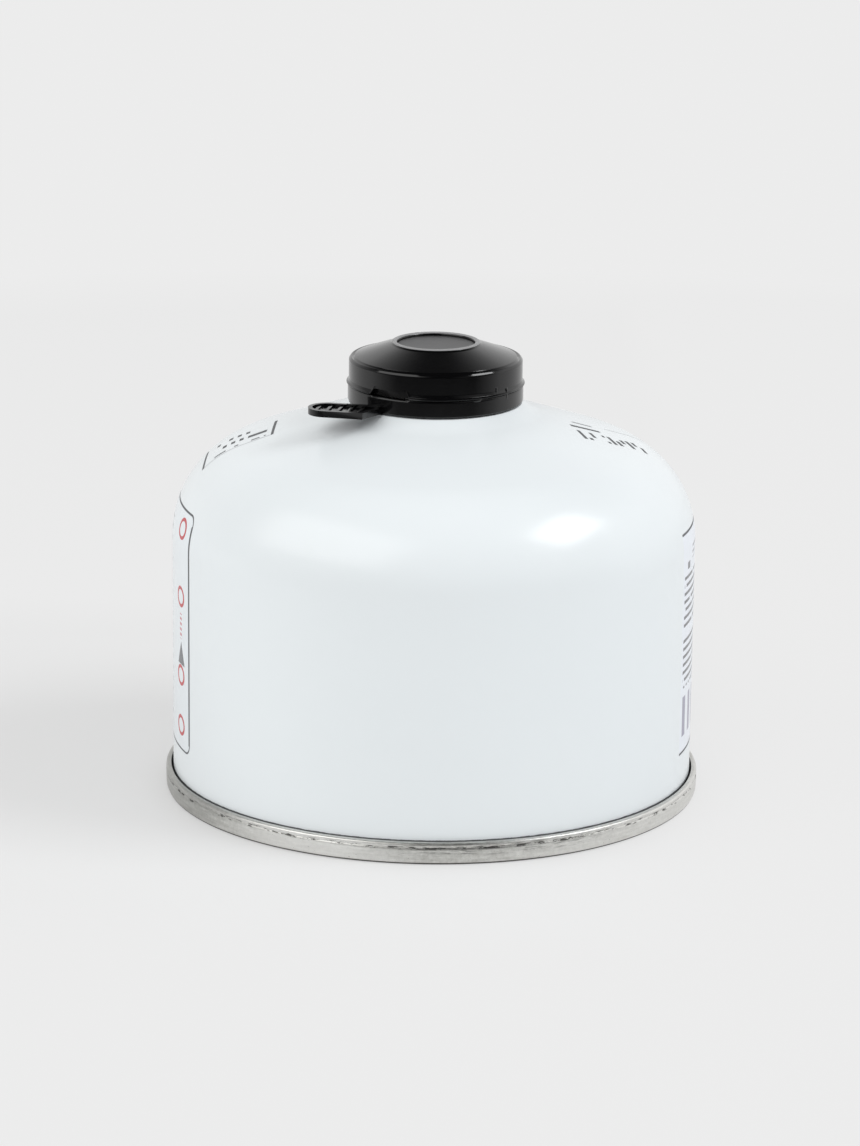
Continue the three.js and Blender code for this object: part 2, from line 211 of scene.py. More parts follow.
def arc(centre_x, centre_z, radius, start, end, steps):
    """Profile points along an arc, given by its centre, radius and two angles."""
    angles = [start + (end - start) * i / steps for i in range(steps + 1)]
    return [(centre_x + radius * math.cos(a), centre_z + radius * math.sin(a)) for a in angles]


def bulge(radius, rim_z, rise, steps):
    """A shallow spherical rise, listed from the axis out to its rim."""
    ball = (radius * radius + rise * rise) / (2 * rise)
    spread = math.asin(radius / ball)
    points = arc(0, rim_z + rise - ball, ball, QUARTER, QUARTER - spread, steps)
    return [(0.0, points[0][1])] + points[1:]


def supported(profile, edge=0.12, longest=3.0):
    """Adds points near the ends of long straight runs, so that smooth shading stays inside the corners."""
    points = []
    for i, (x, z) in enumerate(profile):
        points.append((x, z))
        next_x, next_z = profile[(i + 1) % len(profile)]
        length = math.hypot(next_x - x, next_z - z)
        if length < 4 * edge:
            continue
        inner = length - 2 * edge
        steps = max(1, math.ceil(inner / longest))
        for k in range(steps + 1):
            t = (edge + inner * k / steps) / length
            points.append((x + (next_x - x) * t, z + (next_z - z) * t))
    return points


def around(radius, angle):
    """A point at an angle from the front, positive towards +X."""
    return radius * math.sin(angle), -radius * math.cos(angle)


def turned(profile, segments, shape=None):
    """Turns a closed profile round the Z axis. shape may give a point a new radius and height."""
    mesh = bmesh.new()
    rings = []
    for x, z in profile:
        if abs(x) < 1e-6:
            rings.append([mesh.verts.new((0, 0, z * MM))] * segments)
            continue
        ring = []
        for k in range(segments):
            angle = 2 * math.pi * k / segments
            radius, height = shape(angle, x, z) if shape else (x, z)
            px, py = around(radius, angle)
            ring.append(mesh.verts.new((px * MM, py * MM, height * MM)))
        rings.append(ring)
    for i, ring in enumerate(rings):
        above = rings[(i + 1) % len(rings)]
        for k in range(segments):
            n = (k + 1) % segments
            corners = []
            for vertex in (ring[k], ring[n], above[n], above[k]):
                if vertex not in corners:
                    corners.append(vertex)
            if len(corners) > 2:
                mesh.faces.new(corners)
    bmesh.ops.recalc_face_normals(mesh, faces=mesh.faces)
    return mesh


def prism(points, low, high):
    """Raises a flat outline between two heights."""
    mesh = bmesh.new()
    floor = [mesh.verts.new((x * MM, y * MM, low * MM)) for x, y in points]
    roof = [mesh.verts.new((x * MM, y * MM, high * MM)) for x, y in points]
    mesh.faces.new(floor[::-1])
    mesh.faces.new(roof)
    for k, start in enumerate(floor):
        n = (k + 1) % len(floor)
        mesh.faces.new((start, floor[n], roof[n], roof[k]))
    bmesh.ops.recalc_face_normals(mesh, faces=mesh.faces)
    return mesh


def cropped(mesh, low_x, high_x):
    """Keeps what lies between two X planes and closes the cuts."""
    for x, side in ((low_x, -1), (high_x, 1)):
        if x is None:
            continue
        bmesh.ops.bisect_plane(
            mesh,
            geom=mesh.verts[:] + mesh.edges[:] + mesh.faces[:],
            plane_co=(x * MM, 0, 0),
            plane_no=(side, 0, 0),
            clear_outer=True,
        )
        bmesh.ops.holes_fill(mesh, edges=[e for e in mesh.edges if e.is_boundary])
    bmesh.ops.recalc_face_normals(mesh, faces=mesh.faces)
    return mesh


def block(inner, outer, start, end, low, high, steps=4):
    """A block bent round the Z axis between two radii and two angles."""
    angles = [start + (end - start) * i / steps for i in range(steps + 1)]
    points = [around(outer, a) for a in angles] + [around(inner, a) for a in reversed(angles)]
    return prism(points, low, high)


def piece(name, parts, material, node, edge_round=0.0):
    """Joins bmeshes into one object that stands for a CAD node."""
    joined = bmesh.new()
    for part in parts:
        scratch = bpy.data.meshes.new("scratch")
        part.to_mesh(scratch)
        part.free()
        joined.from_mesh(scratch)
        bpy.data.meshes.remove(scratch)
    data = bpy.data.meshes.new(name)
    joined.to_mesh(data)
    joined.free()
    obj = bpy.data.objects.new(name, data)
    bpy.context.scene.collection.objects.link(obj)
    if edge_round:
        rounded = obj.modifiers.new("edges", "BEVEL")
        rounded.width = edge_round * MM
        rounded.segments = 3
        rounded.limit_method = "ANGLE"
        rounded.angle_limit = SHARP
        bpy.context.view_layer.update()
        evaluated = obj.evaluated_get(bpy.context.evaluated_depsgraph_get())
        data = bpy.data.meshes.new_from_object(evaluated)
        obj.modifiers.clear()
        obj.data = data
        data.name = name
    data.shade_smooth()
    data.set_sharp_from_angle(angle=SHARP)
    data.materials.clear()
    data.materials.append(material)
    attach(obj, "root")
    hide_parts(node)
    return obj


# Materials


class Graph:
    """Builds shader nodes as plain expressions."""

    def __init__(self, tree):
        self.tree = tree

    def node(self, kind, inputs=None, **settings):
        made = self.tree.nodes.new(kind)
        for key, value in settings.items():
            setattr(made, key, value)
        for key, value in (inputs or {}).items():
            self.feed(made.inputs[key], value)
        return made

    def feed(self, socket, value):
        if isinstance(value, bpy.types.NodeSocket):
            self.tree.links.new(value, socket)
        else:
            socket.default_value = value

    def math(self, operation, *values, clamp=False):
        made = self.node("ShaderNodeMath", operation=operation, use_clamp=clamp)
        for socket, value in zip(made.inputs, values):
            self.feed(socket, value)
        return made.outputs[0]

    def plus(self, first, second):
        return self.math("ADD", first, second)

    def minus(self, first, second):
        return self.math("SUBTRACT", first, second)

    def over(self, first, second):
        return self.math("DIVIDE", first, second)

    def magnitude(self, value):
        return self.math("ABSOLUTE", value)

    def times(self, first, *others):
        for other in others:
            first = self.math("MULTIPLY", first, other)
        return first

    def most(self, first, *others):
        for other in others:
            first = self.math("MAXIMUM", first, other)
        return first

    def length(self, across, up):
        return self.math("SQRT", self.plus(self.times(across, across), self.times(up, up)))

    def above(self, value, edge, soft):
        """0 below the edge and 1 above it, over a soft width."""
        return self.math("MULTIPLY_ADD", self.minus(value, edge), 1 / soft, 0.5, clamp=True)

    def below(self, value, edge, soft):
        """1 below the edge and 0 above it, over a soft width."""
        return self.minus(1.0, self.above(value, edge, soft))

    def between(self, value, low, high, soft):
        return self.times(self.above(value, low, soft), self.below(value, high, soft))

    def patch(self, across, up, box, soft_across=0.2, soft_up=0.2):
        """1 inside a box with soft edges. The box gives its two ends across and its two ends up."""
        left, right, low, high = box
        inside = self.between(across, left, right, soft_across)
        return self.times(inside, self.between(up, low, high, soft_up))

    def line(self, distance, width, soft=0.12):
        """1 on a line of the given width where the distance is nought."""
        return self.below(self.magnitude(distance), width / 2, soft)

    def mix(self, factor, first, second):
        """Mixes two colours. Sockets 6 and 7 are the node's colour inputs, and output 2 is its colour."""
        made = self.node("ShaderNodeMix", data_type="RGBA")
        self.feed(made.inputs[0], factor)
        self.feed(made.inputs[6], first)
        self.feed(made.inputs[7], second)
        return made.outputs[2]

    def vector(self, x, y, z):
        return self.node("ShaderNodeCombineXYZ", {"X": x, "Y": y, "Z": z}).outputs[0]

    def noise(self, vector, scale, detail=2.0, roughness=0.5):
        inputs = {"Vector": vector, "Scale": scale, "Detail": detail, "Roughness": roughness}
        return self.node("ShaderNodeTexNoise", inputs).outputs[0]

    def scatter(self, x, y, z=0.0):
        """A value from 0 to 1 for each cell of a grid."""
        return self.node("ShaderNodeTexWhiteNoise", {"Vector": self.vector(x, y, z)}).outputs[0]

    def place(self):
        """Position on the object in millimetres: the vector, and its three parts."""
        coords = self.node("ShaderNodeTexCoord").outputs["Object"]
        scaled = self.node("ShaderNodeVectorMath", {0: coords}, operation="SCALE")
        scaled.inputs["Scale"].default_value = 1 / MM
        split = self.node("ShaderNodeSeparateXYZ", {0: scaled.outputs[0]})
        return scaled.outputs[0], split.outputs[0], split.outputs[1], split.outputs[2]

    def polar(self, x, y):
        """Angle from the front in degrees, and the distance from the axis."""
        angle = self.math("DEGREES", self.math("ARCTAN2", x, self.times(y, -1.0)))
        return angle, self.length(x, y)

    def rounded_box(self, u, v, half_u, half_v, radius):
        """Distance from the edge of a rounded rectangle, negative inside."""
        over_u = self.minus(self.magnitude(u), half_u - radius)
        over_v = self.minus(self.magnitude(v), half_v - radius)
        outside = self.length(self.most(over_u, 0.0), self.most(over_v, 0.0))
        inside = self.math("MINIMUM", self.most(over_u, over_v), 0.0)
        return self.minus(self.plus(outside, inside), radius)

    def rows(self, along, across, pitch, fill, word, seed, gap=0.14):
        """Rows of plain bars of uneven length. fill is a bar's share of the pitch, gap the empty share."""
        count = self.over(across, pitch)
        row = self.math("FLOOR", count)
        stripe = self.between(self.math("FRACT", count), 0.12, 0.12 + fill, 0.08)
        slide = self.times(self.scatter(row, seed), 9.0)
        cell = self.math("FLOOR", self.plus(self.over(along, word), slide))
        return self.times(stripe, self.math("GREATER_THAN", self.scatter(cell, row, seed), gap))


def new_material(name):
    material = bpy.data.materials.new(name)
    material.use_nodes = True
    graph = Graph(material.node_tree)
    shader = material.node_tree.nodes["Principled BSDF"]
    return material, graph, shader


def bumped(graph, shader, height, strength, distance):
    made = graph.node("ShaderNodeBump", {"Height": height, "Strength": strength, "Distance": distance * MM})
    graph.feed(shader.inputs["Normal"], made.outputs[0])


# Printed fields on the wall, each as (left, right, low, high): degrees from the front, then millimetres up
GIRTH = math.radians(BODY_RADIUS)  # millimetres round the wall in one degree
WALL_REACH = 46.0  # the wall's print lies further from the axis than this
DOME_REACH = 25.0  # and the dome's than this
DOME_PRINT_RISE = 5.0  # above the wall's top
LEFT_FIELD = (-146.5, -66.5, 11.2, 61.1)
LEFT_CORNER = 2.4
OUTLINE = 0.42
OUTLINE_INSET = 0.12
SIDE_LINE = 0.7
SIDE_LINE_MARGIN = 2.0
LEFT_ROWS = (-141.0, -84.0, 14.0, 57.5)
RING_ANGLE = -72.7
RING_HEIGHTS = (57.5, 43.4, 26.9, 16.3)
RING_SIZE = 1.85
RING_STROKE = 0.72
RING_FLATNESS = 0.7  # the rings are a little wider than high
DASHES = (-73.4, -71.8, 34.6, 39.9)
DASH_PITCH = 1.1
WEDGE_LOW = 29.2
WEDGE_TIP = 34.1
WEDGE_SHIFT = 0.3
RIGHT_FIELD = (70.4, 153.0, 11.6, 57.6)
RULE = 0.5
FINE_ROWS = ((71.6, 150.0, 38.1, 48.9), (71.6, 150.0, 25.2, 35.6))
HEADING = (74.0, 76.3, 49.9, 51.4)
UPPER_ROWS = (79.0, 112.0, 51.2, 54.4)
STRIPES = (72.0, 95.0, 15.0, 23.4)
STRIPE_PERIOD = 5.4
STRIPE_SHARE = 0.48

# Marks on the dome, in millimetres along two frames that are turned a little from X and Y
LEFT_DOME_LEAN = (0.039, 0.157)
END_STROKES = ((-46.65, 0.45), (-32.85, 0.6))  # place and width
END_STROKE_RUN = (0.3, 12.4)
FRONT_LINE = (0.5, 0.4, -46.6, -32.8, 0.6)  # place, width, two ends and strength
LEFT_DOME_MARKS = (-44.5, -34.2, 1.2, 12.0)
RIGHT_DOME_TURN = (0.916, 0.4)
UPRIGHTS = ((24.1, 28.1, -19.7, -15.3), (30.0, 38.9, -19.7, -15.3))
# Bars as place, width, two ends and strength
DOME_BARS = ((-12.9, 1.1, 24.3, 31.0, 1.0), (-10.0, 0.9, 26.0, 30.5, 0.7), (-9.0, 0.5, 33.8, 42.9, 0.5))

# Inks and enamel
ENAMEL_LOW = (0.78, 0.82, 0.84, 1)
ENAMEL_HIGH = (0.80, 0.84, 0.86, 1)
LEFT_GROUND = (0.78, 0.83, 0.87, 1)
RIGHT_GROUND = (0.80, 0.835, 0.92, 1)
GREY_INK = (0.09, 0.09, 0.1, 1)
VIOLET_INK = (0.22, 0.21, 0.3, 1)
RED_INK = (0.5, 0.02, 0.03, 1)
DARK_INK_AND_SHADE = (0.045, 0.045, 0.05, 1)


def left_print(g, angle, z):
    """Left field: its ground, a dark outline, plain red rings with dashes, and grey rows with a wedge."""
    left, right, low, high = LEFT_FIELD
    half_u, half_v = (right - left) / 2 * GIRTH, (high - low) / 2
    u = g.times(g.minus(angle, (left + right) / 2), GIRTH)
    v = g.minus(z, (low + high) / 2)
    edge = g.rounded_box(u, v, half_u, half_v, LEFT_CORNER)
    ground = g.below(edge, 0.0, 0.2)
    sides = g.line(g.minus(g.magnitude(u), half_u - SIDE_LINE / 2), SIDE_LINE)
    sides = g.times(sides, g.math("LESS_THAN", g.magnitude(v), half_v - SIDE_LINE_MARGIN))
    outline = g.most(g.line(g.plus(edge, OUTLINE_INSET), OUTLINE), sides)

    ring_u = g.times(g.minus(angle, RING_ANGLE), GIRTH)
    dashes = g.math("LESS_THAN", g.math("FRACT", g.over(z, DASH_PITCH)), 0.55)
    red = g.times(dashes, g.patch(angle, z, DASHES), 0.7)
    for height in RING_HEIGHTS:
        drop = g.minus(z, height)
        flattened = g.plus(g.times(ring_u, ring_u, RING_FLATNESS), g.times(drop, drop))
        red = g.most(red, g.line(g.minus(g.math("SQRT", flattened), RING_SIZE), RING_STROKE))

    taper = g.times(g.minus(WEDGE_TIP, z), 0.5)
    beside = g.minus(g.magnitude(g.minus(ring_u, WEDGE_SHIFT)), taper)
    wedge = g.times(g.below(beside, 0.0, 0.2), g.between(z, WEDGE_LOW, WEDGE_TIP, 0.2))
    rows = g.rows(u, v, pitch=2.3, fill=0.42, word=1.6, seed=3.0)
    rows = g.times(rows, g.patch(angle, z, LEFT_ROWS, 0.3), 0.7)
    return ground, outline, red, g.most(rows, wedge)


def right_print(g, angle, z):
    """Right field: its ground, a rule above and below, fine rows with a heading, and broad stripes."""
    left, right, low, high = RIGHT_FIELD
    u = g.times(g.minus(angle, left), GIRTH)
    ground = g.patch(angle, z, RIGHT_FIELD)
    rules = g.most(*(g.line(g.minus(z, height), RULE) for height in (low, high)))
    rules = g.times(rules, g.between(angle, left, right, 0.2))
    blocks = g.most(*(g.patch(angle, z, box, 0.2, 0.1) for box in FINE_ROWS))
    fine = g.times(g.rows(u, z, pitch=1.65, fill=0.42, word=1.1, seed=11.0), blocks)
    heading = g.patch(angle, z, HEADING, 0.2, 0.1)
    upper = g.rows(u, z, pitch=1.3, fill=0.45, word=0.9, seed=17.0)
    upper = g.times(upper, g.patch(angle, z, UPPER_ROWS, 0.2, 0.1), 0.7)
    count = g.over(g.minus(angle, STRIPES[0]), STRIPE_PERIOD)
    stripes = g.math("LESS_THAN", g.math("FRACT", count), STRIPE_SHARE)
    return ground, rules, g.most(fine, heading, upper), g.times(stripes, g.patch(angle, z, STRIPES, 0.1))


def left_dome_print(g, x, y):
    """Two dark end strokes, a thin line along the front and uneven marks between them."""
    ends = g.minus(x, g.times(y, LEFT_DOME_LEAN[0]))
    front = g.minus(y, g.times(x, LEFT_DOME_LEAN[1]))
    strokes = g.most(*(g.line(g.minus(ends, at), width) for at, width in END_STROKES))
    strokes = g.times(strokes, g.between(front, *END_STROKE_RUN, 0.2))
    place, width, start, end, strength = FRONT_LINE
    thin = g.times(g.line(g.minus(front, place), width), g.between(ends, start, end, 0.2), strength)
    marks = g.rows(ends, g.plus(front, 0.4), pitch=4.1, fill=0.45, word=0.85, seed=21.0, gap=0.58)
    return g.most(strokes, thin, g.times(marks, g.patch(ends, front, LEFT_DOME_MARKS)))


def right_dome_print(g, x, y):
    """Upright marks in two groups, with bars and a thin line behind them."""
    cosine, sine = RIGHT_DOME_TURN
    along = g.plus(g.times(x, cosine), g.times(y, sine))
    across = g.minus(g.times(y, cosine), g.times(x, sine))
    groups = g.most(*(g.patch(along, across, box, 0.1) for box in UPRIGHTS))
    upright = g.rows(across, along, pitch=1.35, fill=0.6, word=2.2, seed=31.0, gap=0.3)
    marks = [g.times(upright, groups)]
    for place, width, start, end, strength in DOME_BARS:
        bar = g.line(g.minus(across, place), width)
        marks.append(g.times(bar, g.between(along, start, end, 0.2), strength))
    return g.most(*marks)


def painted_seam_shadow(g, angle, z):
    """A ragged dark line where the wall goes down into the seam: painted shadow of the narrow gap, with some
    dirt.
    """
    ragged = g.noise(g.vector(g.times(angle, 0.35), 0.0, 2.0), 1.0, 4.0, 0.7)
    return g.below(g.minus(z, g.math("MULTIPLY_ADD", ragged, 0.4, SEAM_HEIGHT - 0.08)), 0.0, 0.1)


def enamel():
    """White printed enamel over drawn steel."""
    material, g, shader = new_material("white_enamel")
    spot, x, y, z = g.place()
    angle, reach = g.polar(x, y)
    on_wall = g.above(reach, WALL_REACH, 0.5)
    on_dome = g.times(g.above(z, WALL_TOP + DOME_PRINT_RISE, 0.5), g.above(reach, DOME_REACH, 0.5))
    outside = g.above(z, SEAM_GROOVE_FLOOR, 0.3)
    left_ground, outline, red, broad_rows = left_print(g, angle, z)
    right_ground, rules, fine_rows, stripes = right_print(g, angle, z)
    # the print's dark lines, and the painted shadow along the seam
    on_the_wall = g.times(g.most(outline, rules, painted_seam_shadow(g, angle, z)), on_wall)
    dark = g.most(on_the_wall, g.times(g.most(left_dome_print(g, x, y), right_dome_print(g, x, y)), on_dome))

    colour = g.mix(g.noise(spot, 0.02, 2.0), ENAMEL_LOW, ENAMEL_HIGH)
    colour = g.mix(g.times(left_ground, on_wall, 0.5), colour, LEFT_GROUND)
    colour = g.mix(g.times(right_ground, on_wall, 0.6), colour, RIGHT_GROUND)
    colour = g.mix(g.times(g.most(broad_rows, fine_rows), on_wall, outside, 0.95), colour, GREY_INK)
    colour = g.mix(g.times(stripes, on_wall, outside, 0.85), colour, VIOLET_INK)
    colour = g.mix(g.times(red, on_wall, outside), colour, RED_INK)
    # dark print, and the painted seam shadow
    colour = g.mix(g.times(dark, outside, 0.9), colour, DARK_INK_AND_SHADE)
    g.feed(shader.inputs["Base Color"], colour)

    shader.inputs["IOR"].default_value = 1.5
    haze = g.math("MULTIPLY_ADD", g.noise(spot, 0.09, 3.0), 0.06, 0.21)
    g.feed(shader.inputs["Roughness"], g.math("MULTIPLY_ADD", dark, 0.35, haze))
    bumped(g, shader, g.noise(spot, 0.7, 2.0), 0.05, 0.1)
    return material


# Bare tinplate, with zones of the rim as (from, to, soft) in degrees from the front: painted sheen, painted
# shade and wear
TIN_LOW = (0.42, 0.417, 0.39, 1)
TIN_HIGH = (0.74, 0.737, 0.71, 1)
TIN_PAINTED_SHEEN = (0.93, 0.925, 0.9, 1)
TIN_PAINTED_SHADE = (0.2, 0.2, 0.19, 1)
TIN_GRIME_AND_SHADE = (0.035, 0.033, 0.03, 1)
PAINTED_SHEEN_LEFT = (-44.0, -10.0, 18.0)
PAINTED_SHEEN_RIGHT = (18.0, 90.0, 24.0)
PAINTED_SHADE_ZONE = (-100.0, -54.0, 14.0)
RUBBED_ZONE = (-6.0, 36.0, 16.0)


def tinplate():
    """Bare satin tinplate with rolling streaks, mottling and a broken dark line along the seam's crease,
    with painted sheen, painted shade and painted shadow on the rim.
    """
    material, g, shader = new_material("satin_tinplate")
    spot, x, y, z = g.place()
    angle, reach = g.polar(x, y)
    along = g.times(angle, math.radians(SEAM_RADIUS))
    on_seam = g.above(reach, HOOK_RADIUS, 0.2)

    def stretched(scale_along, scale_up, seed, roughness):
        spot_on_rim = g.vector(g.times(along, scale_along), g.times(z, scale_up), seed)
        return g.noise(spot_on_rim, 1.0, 4.0, roughness)

    streaks = g.noise(g.vector(g.times(along, 0.12), z, reach), 1.6, 4.0, 0.6)
    mottle = g.noise(spot, 1.3, 5.0, 0.65)
    tone = g.plus(g.times(streaks, 0.5), g.times(mottle, 0.5))
    # painted sheen: the rim is lighter front-left and to the right, where it catches the light
    painted_sheen = g.most(g.between(angle, *PAINTED_SHEEN_LEFT), g.times(g.between(angle, *PAINTED_SHEEN_RIGHT), 0.65))
    colour = g.mix(g.above(tone, 0.5, 0.35), TIN_LOW, TIN_HIGH)
    colour = g.mix(g.times(painted_sheen, on_seam, 0.6), colour, TIN_PAINTED_SHEEN)
    # painted shade: the rim is darker far to the left
    colour = g.mix(g.times(g.between(angle, *PAINTED_SHADE_ZONE), on_seam, 0.35), colour, TIN_PAINTED_SHADE)

    crease = g.below(g.magnitude(g.minus(z, SEAM_HEIGHT - SEAM_CREASE_DROP)), 0.32, 0.3)
    rubbed = g.between(angle, *RUBBED_ZONE)
    broken = g.math("MULTIPLY_ADD", rubbed, 0.06, stretched(0.35, 1.4, 4.0, 0.7))
    # a broken dark line along the crease, fuller in the worn zone
    crease_line = g.times(crease, g.above(broken, 0.56, 0.06), on_seam, 0.85)
    hairs = g.above(stretched(0.22, 2.2, 9.0, 0.75), 0.56, 0.1)
    worn = g.times(rubbed, hairs, g.between(z, 2.0, 4.3, 0.5), on_seam, 0.5)
    specks = g.times(g.above(g.noise(spot, 2.6, 3.0, 0.6), 0.7, 0.04), on_seam, 0.5)
    # painted contact shadow along the outer rounding of the seam's foot
    foot = g.times(g.below(z, 0.4, 0.16), g.above(reach, SEAM_RADIUS - 0.7, 0.2), 0.9)
    # painted shade in the narrow gap between the seam's hook and the wall
    painted_gap_shade = g.times(g.below(reach, HOOK_RADIUS + 0.16, 0.1), g.above(reach, BODY_RADIUS, 0.1), 0.9)
    dark = g.most(crease_line, specks, worn, foot, painted_gap_shade)
    # specks and wear, with the painted shade and shadows, darken the metal
    g.feed(shader.inputs["Base Color"], g.mix(dark, colour, TIN_GRIME_AND_SHADE))

    shader.inputs["Metallic"].default_value = 1.0
    rough = g.math("MULTIPLY_ADD", mottle, 0.22, 0.27)
    g.feed(shader.inputs["Roughness"], g.plus(rough, g.times(dark, 0.3)))
    bumped(g, shader, g.minus(g.plus(g.times(streaks, 0.6), mottle), dark), 0.35, 0.08)
    return material


CREST_PAINTED_HIGHLIGHT = (0.3, 0.3, 0.304, 1)


def cap_plastic(name, colour, rough, grain, grain_height):
    """Moulded black plastic: glossy on the walls, textured on the top disc."""
    material, g, shader = new_material(name)
    spot, _, _, z = g.place()
    flow = g.noise(spot, 0.12, 3.0)
    deep = tuple(0.75 * c for c in colour) + (1,)
    pale = tuple(1.25 * c for c in colour) + (1,)
    crest = g.above(z, CREST_Z - 0.24, 0.12)  # the top ring is rougher, and painted lighter grey as a painted highlight
    g.feed(shader.inputs["Base Color"], g.mix(crest, g.mix(flow, deep, pale), CREST_PAINTED_HIGHLIGHT))
    above_edge = g.above(z, EDGE_Z + SKIRT_EDGE_ROUND, 0.2)
    polished = g.minus(g.above(z, EDGE_Z, 0.2), above_edge)  # the skirt's edge is smoother
    dull = g.math("MULTIPLY_ADD", flow, 0.08, rough - 0.04)
    plain = g.math("MULTIPLY_ADD", polished, -0.06, dull)
    g.feed(shader.inputs["Roughness"], g.math("MULTIPLY_ADD", crest, 0.3, plain))
    shader.inputs["IOR"].default_value = 1.49
    bumped(g, shader, g.noise(spot, grain, 2.0), 0.2, grain_height)
    return material


def rubber():
    material, g, shader = new_material("seal_rubber")
    spot, _, _, _ = g.place()
    dust = g.noise(spot, 1.5, 3.0)
    g.feed(shader.inputs["Base Color"], g.mix(dust, (0.018, 0.018, 0.019, 1), (0.035, 0.035, 0.036, 1)))
    g.feed(shader.inputs["Roughness"], g.math("MULTIPLY_ADD", dust, 0.15, 0.6))
    bumped(g, shader, g.noise(spot, 6.0, 2.0), 0.3, 0.03)
    return material


FLOOR_LOW = (0.775, 0.775, 0.775, 1)
FLOOR_HIGH = (0.785, 0.785, 0.785, 1)
BACKDROP = (0.84, 0.84, 0.84, 1)  # the even tone of floor and backdrop away from the canister
DARK_CARD = (0.03, 0.03, 0.03, 1)
DIFFUSE_LEVEL = 0.58  # of the light from above, which grows towards the horizon
# Where the floor is painted with light up to the backdrop's tone and where the dark card lies, in
# millimetres from the axis
RISING_FROM = 10.0  # painted light over the fill lamp's shadow grows towards the right between these two
RISING_TO = 70.0
SHADOW_MIDDLE = 15.0
SHADOW_HALF_WIDTH = 95.0
EVEN_REACH = 330.0
CARD_REACH = 290.0
CARD_FRONT = -110.0


def pale_floor():
    """A pale floor that keeps the canister's shadow to its left, is painted with light to its right over the
    fill lamp's shadow and beyond the shadow's band, and fades into an even backdrop away from it.
    """
    material, g, shader = new_material("pale_floor")
    spot, x, y, _ = g.place()
    _, reach = g.polar(x, y)
    g.feed(shader.inputs["Base Color"], g.mix(g.noise(spot, 0.004, 2.0), FLOOR_LOW, FLOOR_HIGH))
    shader.inputs["Roughness"].default_value = 0.9
    shader.inputs["Specular IOR Level"].default_value = 0.1

    paths = g.node("ShaderNodeLightPath").outputs
    shown = g.most(paths["Is Camera Ray"], paths["Is Glossy Ray"], paths["Is Transmission Ray"])
    # painted light: the floor glows with the backdrop's tone to the right of the canister and beyond a band
    # through the key's shadow
    right_range = {"Value": x, "From Min": RISING_FROM, "From Max": RISING_TO, "To Min": 0.4, "To Max": 0.92}
    painted_light_right = g.node("ShaderNodeMapRange", right_range, interpolation_type="SMOOTHSTEP").outputs[0]
    from_shadow = g.magnitude(g.minus(y, SHADOW_MIDDLE))
    off_shadow = g.times(g.above(from_shadow, SHADOW_HALF_WIDTH, 60.0), 0.85)
    even = g.times(g.most(painted_light_right, off_shadow, g.above(reach, EVEN_REACH, 420.0)), shown)

    # A dark card that only reflections see, in front of the canister
    card = g.times(g.above(reach, CARD_REACH, 160.0), g.below(y, CARD_FRONT, 260.0), paths["Is Glossy Ray"])
    glow = g.node("ShaderNodeEmission", {"Color": g.mix(card, BACKDROP, DARK_CARD)}).outputs[0]
    blend = g.node("ShaderNodeMixShader")
    g.feed(blend.inputs[0], g.most(even, card))
    g.feed(blend.inputs[1], shader.outputs[0])
    g.feed(blend.inputs[2], glow)
    g.feed(material.node_tree.nodes["Material Output"].inputs["Surface"], blend.outputs[0])
    return material


# The canister's pieces


def body_profile():
    """The sealed body, from its lower face up the wall and over the dome to the neck's bead and well."""
    under = END_SHEET + SEAT_GAP
    rim_z = COUNTERSINK_DEPTH + under
    step_radius = PANEL_RADIUS - PANEL_STEP_WIDTH
    flare_x = FLARE_START + FLARE_RADIUS * math.sin(DOME_SLOPE)
    flare_z = FLARE_START_Z + FLARE_RADIUS * math.cos(DOME_SLOPE)
    turn = -QUARTER
    return [
        *bulge(step_radius, rim_z + PANEL_STEP_HEIGHT, PANEL_RISE, 12),
        (PANEL_RADIUS, rim_z),
        (WALL_INNER, rim_z),
        (WALL_INNER, SEAM_GROOVE_FLOOR + SEAT_GAP),
        (BODY_RADIUS, SEAM_GROOVE_FLOOR + SEAT_GAP),
        *arc(BODY_RADIUS - SHOULDER_RADIUS, WALL_TOP, SHOULDER_RADIUS, 0, SHOULDER_ANGLE, 48),
        *arc(flare_x, flare_z, FLARE_RADIUS, turn - DOME_SLOPE, turn - FLARE_END_SLOPE, 20),
        (NECK_BEAD_OUTER, NECK_Z),
        *arc(NECK_BEAD_LINE, NECK_BEAD_Z, NECK_BEAD, 0, math.pi, 16),
        (NECK_OPENING, WELL_FLOOR),
        (0.0, WELL_FLOOR),
    ]


